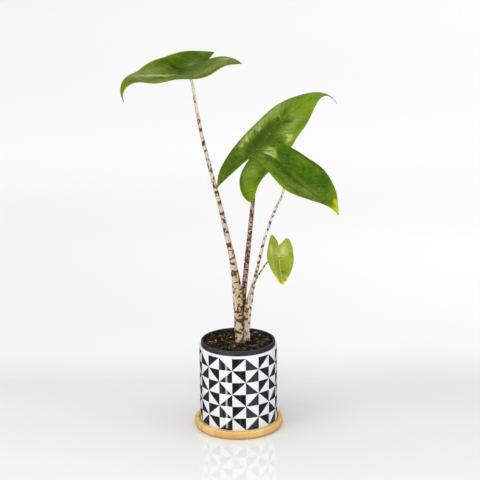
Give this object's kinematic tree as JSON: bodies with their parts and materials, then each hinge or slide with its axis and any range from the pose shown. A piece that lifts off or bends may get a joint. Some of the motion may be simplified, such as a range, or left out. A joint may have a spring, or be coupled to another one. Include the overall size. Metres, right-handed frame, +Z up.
{
  "type": "potted alocasia zebrina",
  "caption": "Potted alocasia with arrow-shaped leaves on tall zebra-banded stalks, in a patterned cylindrical ceramic pot with a plastic growing pot inside, on a round bamboo saucer.",
  "frame": {"origin": "on the pot's vertical axis, at the underside of the saucer", "axes": "+Z up, -Y towards the front, +X to the front view's right"},
  "size_m": [0.355, 0.2951, 0.6358],
  "materials": {
    "bamboo": "satin",
    "glazed_ceramic": "gloss",
    "black_plastic": "satin",
    "potting_mix": "matte",
    "rhizome": "matte",
    "zebra_stalk": "satin",
    "purple_stalk": "satin",
    "leaf_green": "satin",
    "leaf_lime": "satin"
  },
  "bodies": {
    "root": {"saucer": "bamboo", "outer_pot": "glazed_ceramic", "nursery_pot": "black_plastic", "soil": "potting_mix", "rhizome": "rhizome", "petiole_tall": "zebra_stalk", "petiole_middle": "purple_stalk", "petiole_right": "zebra_stalk", "petiole_small": "zebra_stalk", "leaf_tall": "leaf_green", "leaf_middle": "leaf_green", "leaf_right": "leaf_green", "leaf_small": "leaf_lime"}
  },
  "joints": []
}
